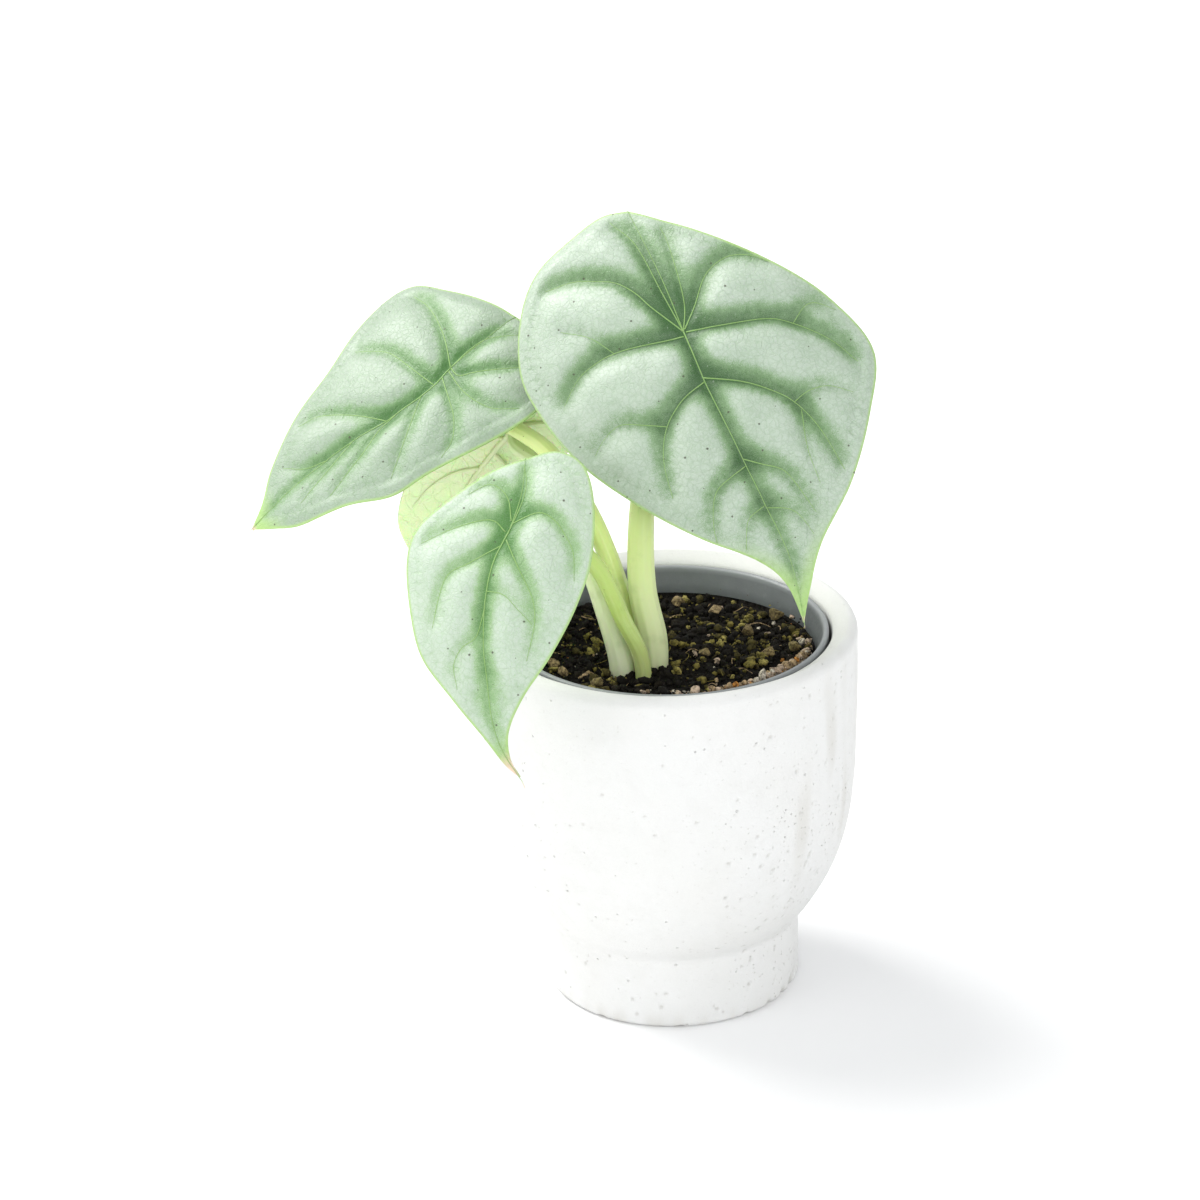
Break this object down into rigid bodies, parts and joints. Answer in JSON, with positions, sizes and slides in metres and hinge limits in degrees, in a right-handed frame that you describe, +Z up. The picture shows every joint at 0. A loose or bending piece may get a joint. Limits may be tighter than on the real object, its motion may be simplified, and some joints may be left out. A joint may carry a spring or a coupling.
{
  "type": "potted alocasia",
  "caption": "Young shield-leaved alocasia growing in a round nursery pot, dropped into a footed cast concrete cover pot that stands on a table.",
  "frame": {"origin": "centre of the cover pot's flat foot, on the surface it stands on", "axes": "+Z up along the pots' common axis, -Y towards the side the large leaf hangs over, +X to the right seen from there"},
  "size_m": [0.1503, 0.1196, 0.19],
  "materials": {
    "cast_concrete": "matt white cast concrete with small air-bubble pits",
    "dark_plastic": "thin moulded dark grey plastic",
    "peat_mix": null,
    "corm_skin": null,
    "root_skin": null,
    "petiole_skin": null,
    "blade_skin": null,
    "young_blade_skin": null,
    "granule_mineral": "rough tan mineral grain"
  },
  "bodies": {
    "root": {"cover_pot": "cast_concrete", "nursery_pot": "dark_plastic", "potting_mix": "peat_mix", "corm": "corm_skin", "root_1": "root_skin", "root_2": "root_skin", "root_3": "root_skin", "root_4": "root_skin", "root_5": "root_skin", "root_6": "root_skin", "petiole_large": "petiole_skin", "petiole_left": "petiole_skin", "petiole_front": "petiole_skin", "petiole_back": "petiole_skin", "leaf_blade_large": "blade_skin", "leaf_blade_left": "blade_skin", "leaf_blade_front": "blade_skin", "leaf_blade_back": "young_blade_skin", "granule_01": "granule_mineral", "granule_02": "granule_mineral", "granule_03": "granule_mineral", "granule_04": "granule_mineral", "granule_05": "granule_mineral", "granule_06": "granule_mineral", "granule_07": "granule_mineral", "granule_08": "granule_mineral", "granule_09": "granule_mineral", "granule_10": "granule_mineral"}
  },
  "joints": []
}
